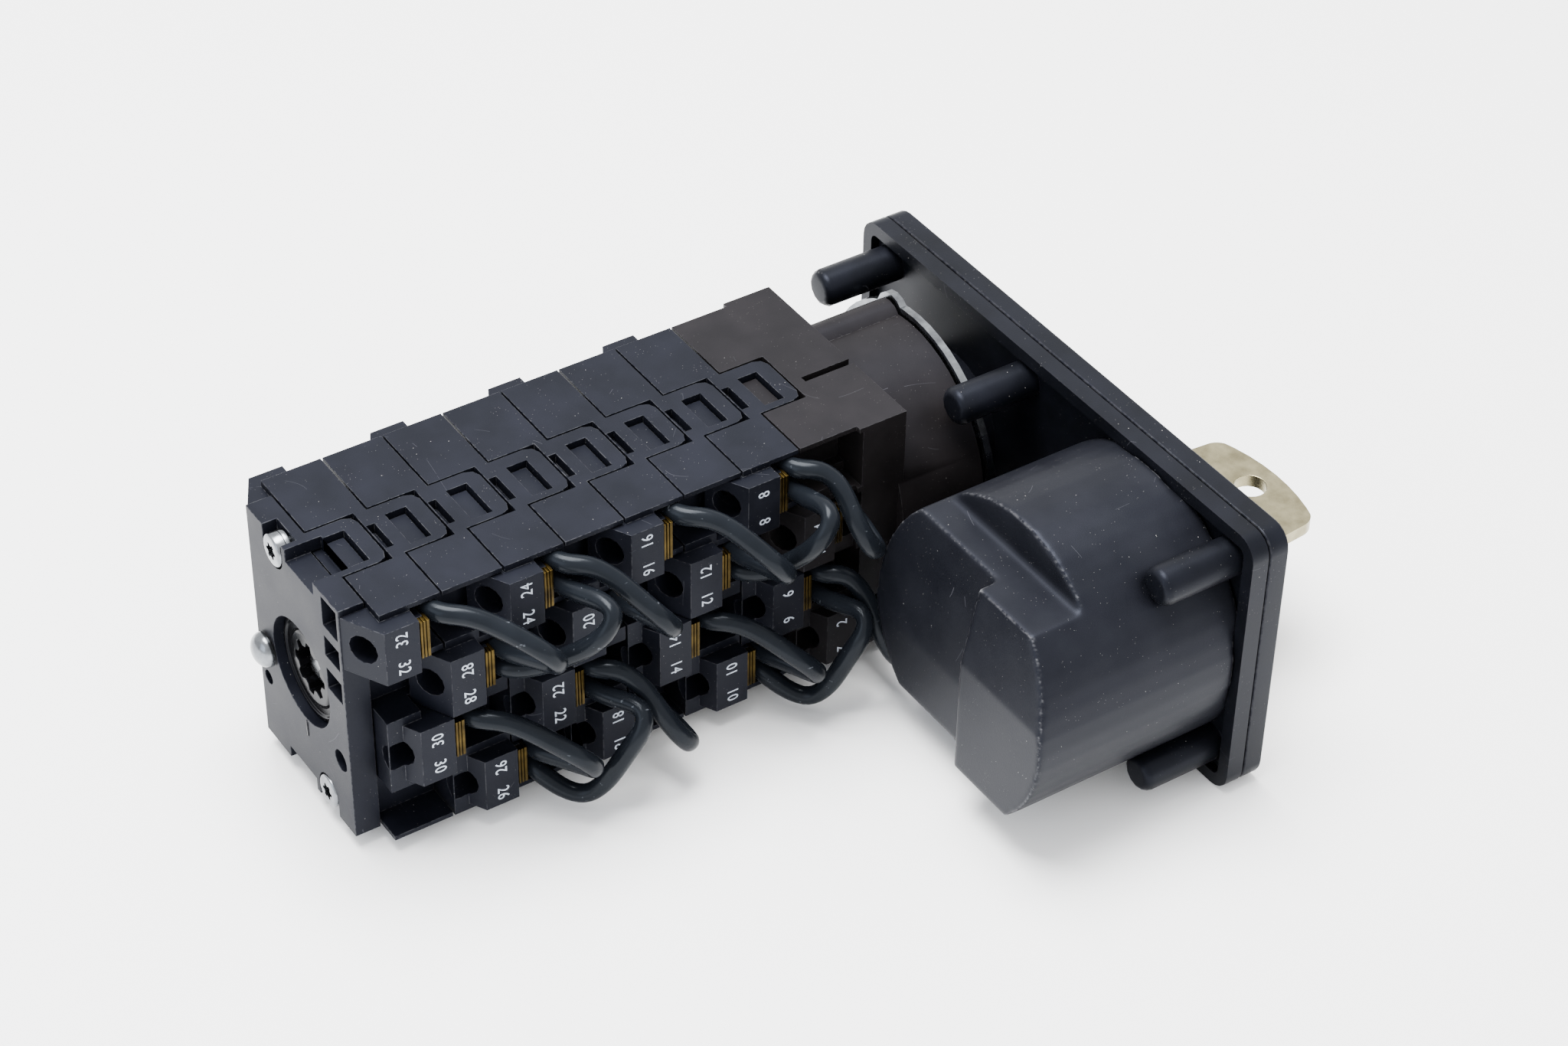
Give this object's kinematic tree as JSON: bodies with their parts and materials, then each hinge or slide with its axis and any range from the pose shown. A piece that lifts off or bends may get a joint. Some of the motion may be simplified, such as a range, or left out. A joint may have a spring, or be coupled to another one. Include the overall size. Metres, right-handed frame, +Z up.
{
  "type": "key-operated cam switch",
  "caption": "Key-operated rotary cam switch: oblong front plate with a lock at one side, a long stack of contact stages behind the other, side terminals joined by jumper wires.",
  "frame": {"origin": "middle of the bottom of the object's box, on the surface that it lies on", "axes": "+Y runs back along the stack of stages, +Z is up, +X points away from the lock"},
  "size_m": [0.0978, 0.1504, 0.048],
  "materials": {
    "plate_plastic": "satin black moulding with a fine grain",
    "housing_plastic": "matte blue-black moulding",
    "latch_plastic": "matte brown-black moulding",
    "hub_gloss": "glossy black moulding",
    "moving_plastic": "grey moulding inside the stages",
    "zinc_steel": "bright zinc plate",
    "nickel_brass": "pale nickel-plated brass",
    "terminal_brass": "bare brass terminal",
    "wire_sheath": "black-grey wire insulation"
  },
  "bodies": {
    "switch_body": {"front_cover": "plate_plastic", "back_plate": "plate_plastic", "lock_housing": "plate_plastic", "lock_cylinder": "nickel_brass", "mounting_disc": "zinc_steel", "latch_housing": "latch_plastic", "stage_housing_1": "housing_plastic", "stage_housing_2": "housing_plastic", "stage_housing_3": "housing_plastic", "stage_housing_4": "housing_plastic", "stage_housing_5": "housing_plastic", "stage_housing_6": "housing_plastic", "stage_housing_7": "housing_plastic", "end_plate": "housing_plastic", "tie_screw_upper": "zinc_steel", "tie_screw_lower": "zinc_steel", "spring_washer_upper": "zinc_steel", "spring_washer_lower": "zinc_steel", "side_screw": "zinc_steel", "jumper_wire_1": "wire_sheath", "jumper_wire_2": "wire_sheath", "jumper_wire_3": "wire_sheath", "jumper_wire_4": "wire_sheath", "jumper_wire_5": "wire_sheath", "jumper_wire_6": "wire_sheath", "jumper_wire_7": "wire_sheath", "jumper_wire_8": "wire_sheath", "jumper_wire_9": "wire_sheath", "jumper_wire_10": "wire_sheath", "jumper_wire_11": "wire_sheath", "jumper_wire_12": "wire_sheath", "detent_spring_upper": "zinc_steel", "detent_spring_lower": "zinc_steel"},
    "lock_core": {"lock_plug": "nickel_brass", "lock_gear": "zinc_steel"},
    "key_body": {"key": "nickel_brass"},
    "transfer": {"transfer_shaft": "zinc_steel"},
    "link": {"drive_link": "zinc_steel"},
    "spindle": {"switch_shaft": "zinc_steel", "shaft_crank": "zinc_steel", "detent_star": "moving_plastic", "rear_hub": "hub_gloss", "cam_1": "moving_plastic", "cam_2": "moving_plastic", "cam_3": "moving_plastic", "cam_4": "moving_plastic", "cam_5": "moving_plastic", "cam_6": "moving_plastic", "cam_7": "moving_plastic", "cam_8": "moving_plastic"},
    "plunger_upper": {"detent_upper": "zinc_steel"},
    "plunger_lower": {"detent_lower": "zinc_steel"},
    "slider_1": {"contact_yoke_1": "moving_plastic"},
    "slider_2": {"contact_yoke_2": "moving_plastic"},
    "slider_3": {"contact_yoke_3": "moving_plastic"},
    "slider_4": {"contact_yoke_4": "moving_plastic"},
    "slider_5": {"contact_yoke_5": "moving_plastic"},
    "slider_6": {"contact_yoke_6": "moving_plastic"},
    "slider_7": {"contact_yoke_7": "moving_plastic"},
    "slider_8": {"contact_yoke_8": "moving_plastic"}
  },
  "joints": [
    {"name": "key_turn", "type": "hinge", "parent": "switch_body", "child": "lock_core", "pos_m": [-0.0164, -0.04177, 0.024], "axis": [0, 1, 0], "range_deg": [-45, 45]},
    {"name": "key_pull", "type": "slide", "parent": "lock_core", "child": "key_body", "axis": [0, -1, 0], "range_m": [0, 0.03]},
    {"name": "transfer_turn", "type": "hinge", "parent": "switch_body", "child": "transfer", "pos_m": [-0.02245, -0.04177, 0.012], "axis": [0, 1, 0], "range_deg": [-45, 45]},
    {"name": "link_pivot", "type": "hinge", "parent": "transfer", "child": "link", "pos_m": [-0.02097, -0.04177, 0.00619], "axis": [0, 1, 0], "range_deg": [-45, 45]},
    {"name": "spindle_turn", "type": "hinge", "parent": "switch_body", "child": "spindle", "pos_m": [0.0247, -0.04177, 0.024], "axis": [0, 1, 0], "range_deg": [-45, 45]},
    {"name": "slider_1_slide", "type": "slide", "parent": "switch_body", "child": "slider_1", "axis": [0, 0, 1], "range_m": [-0.0011, 0.0011]},
    {"name": "slider_2_slide", "type": "slide", "parent": "switch_body", "child": "slider_2", "axis": [0, 0, 1], "range_m": [-0.0011, 0.0011]},
    {"name": "slider_3_slide", "type": "slide", "parent": "switch_body", "child": "slider_3", "axis": [0, 0, 1], "range_m": [-0.0011, 0.0011]},
    {"name": "slider_4_slide", "type": "slide", "parent": "switch_body", "child": "slider_4", "axis": [0, 0, 1], "range_m": [-0.0011, 0.0011]},
    {"name": "slider_5_slide", "type": "slide", "parent": "switch_body", "child": "slider_5", "axis": [0, 0, 1], "range_m": [-0.0011, 0.0011]},
    {"name": "slider_6_slide", "type": "slide", "parent": "switch_body", "child": "slider_6", "axis": [0, 0, 1], "range_m": [-0.0011, 0.0011]},
    {"name": "slider_7_slide", "type": "slide", "parent": "switch_body", "child": "slider_7", "axis": [0, 0, 1], "range_m": [-0.0011, 0.0011]},
    {"name": "slider_8_slide", "type": "slide", "parent": "switch_body", "child": "slider_8", "axis": [0, 0, 1], "range_m": [-0.0011, 0.0011]},
    {"name": "plunger_upper_slide", "type": "slide", "parent": "switch_body", "child": "plunger_upper", "axis": [0, 0, 1], "range_m": [0, 0.0008], "stiffness_N_per_m": 800, "springref_m": -0.0004, "deforming": ["detent_spring_upper"]},
    {"name": "plunger_lower_slide", "type": "slide", "parent": "switch_body", "child": "plunger_lower", "axis": [0, 0, -1], "range_m": [0, 0.0008], "stiffness_N_per_m": 800, "springref_m": -0.0004, "deforming": ["detent_spring_lower"]}
  ],
  "couplings": [
    {"joint": "transfer_turn", "follows": "key_turn", "ratio": -1},
    {"joint": "link_pivot", "follows": "key_turn", "ratio": 1},
    {"joint": "spindle_turn", "follows": "key_turn", "ratio": -1},
    {"joint": "slider_1_slide", "follows": "key_turn", "m_per_rad": -0.00135},
    {"joint": "slider_2_slide", "follows": "key_turn", "m_per_rad": 0.00135},
    {"joint": "slider_3_slide", "follows": "key_turn", "m_per_rad": -0.00135},
    {"joint": "slider_4_slide", "follows": "key_turn", "m_per_rad": 0.00135},
    {"joint": "slider_5_slide", "follows": "key_turn", "m_per_rad": -0.00135},
    {"joint": "slider_6_slide", "follows": "key_turn", "m_per_rad": 0.00135},
    {"joint": "slider_7_slide", "follows": "key_turn", "m_per_rad": -0.00135},
    {"joint": "slider_8_slide", "follows": "key_turn", "m_per_rad": 0.00135}
  ]
}
